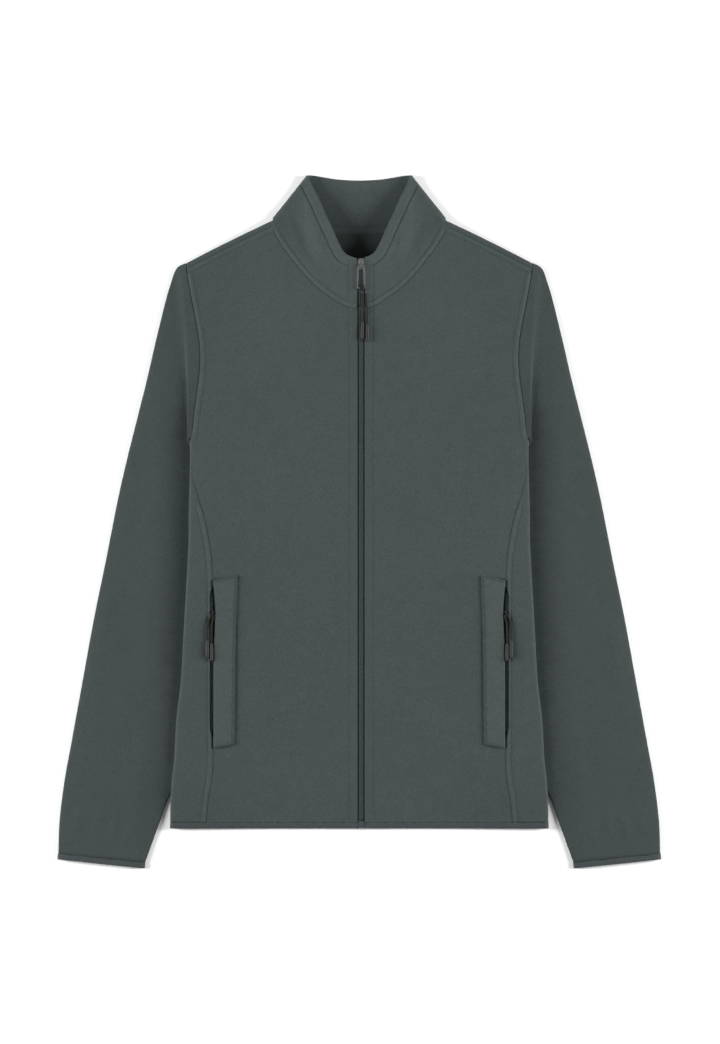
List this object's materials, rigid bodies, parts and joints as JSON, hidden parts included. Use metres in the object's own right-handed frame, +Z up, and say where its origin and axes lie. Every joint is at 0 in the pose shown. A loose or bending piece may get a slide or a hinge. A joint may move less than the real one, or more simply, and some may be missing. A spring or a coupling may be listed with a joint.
{
  "type": "fleece zip jacket",
  "caption": "Full-zip fleece jacket with a stand collar, side panels, welt pockets and bound edges, laid flat with its front up.",
  "frame": {"origin": "on the surface that the jacket lies on, under the middle of its outline", "axes": "+X to the right of a viewer at the hem, +Y from the hem to the collar, +Z up off the surface, with the front of the jacket up"},
  "size_m": [0.6638, 0.762, 0.0393],
  "materials": {
    "fleece": "matt knitted fleece with a short brushed pile, grey-green marl",
    "binding": "smooth elastic binding, slightly bluer grey",
    "zip_tape": "flat woven tape, dark grey",
    "zip_coil": "dark grey nylon coil",
    "zip_metal": "gunmetal grey, satin",
    "cord": "braided cord, nearly black",
    "cord_end": "moulded matt rubber, dark grey"
  },
  "bodies": {
    "garment": {"back_panel": "fleece", "front_panel_right": "fleece", "front_panel_left": "fleece", "side_panel_right": "fleece", "side_panel_left": "fleece", "sleeve_right": "fleece", "sleeve_left": "fleece", "cuff_binding_right": "binding", "cuff_binding_left": "binding", "collar": "fleece", "hem_binding": "binding", "zip_tape_right": "zip_tape", "zip_tape_left": "zip_tape", "zip_chain": "zip_coil", "zip_bottom_box": "zip_coil", "zip_slider": "zip_metal", "pocket_welt_right": "fleece", "pocket_welt_left": "fleece", "pocket_zip_tape_right": "zip_tape", "pocket_zip_chain_right": "zip_coil", "pocket_zip_tape_left": "zip_tape", "pocket_zip_chain_left": "zip_coil", "pocket_right_a_cord": "cord", "pocket_right_a_tip": "cord_end", "pocket_left_a_cord": "cord", "pocket_left_a_tip": "cord_end", "pocket_right_b_cord": "cord", "pocket_right_b_tip": "cord_end", "pocket_left_b_cord": "cord", "pocket_left_b_tip": "cord_end"},
    "zip_pull": {"zip_pull_tab": "zip_metal", "zip_pull_knot": "cord", "zip_pull_a_cord": "cord", "zip_pull_a_tip": "cord_end", "zip_pull_b_cord": "cord", "zip_pull_b_tip": "cord_end"}
  },
  "joints": [
    {"name": "pull_tab_hinge", "type": "hinge", "parent": "garment", "child": "zip_pull", "pos_m": [0.00195, 0.2792, 0.03683], "axis": [-1, 0, 0], "range_deg": [0, 165]}
  ]
}
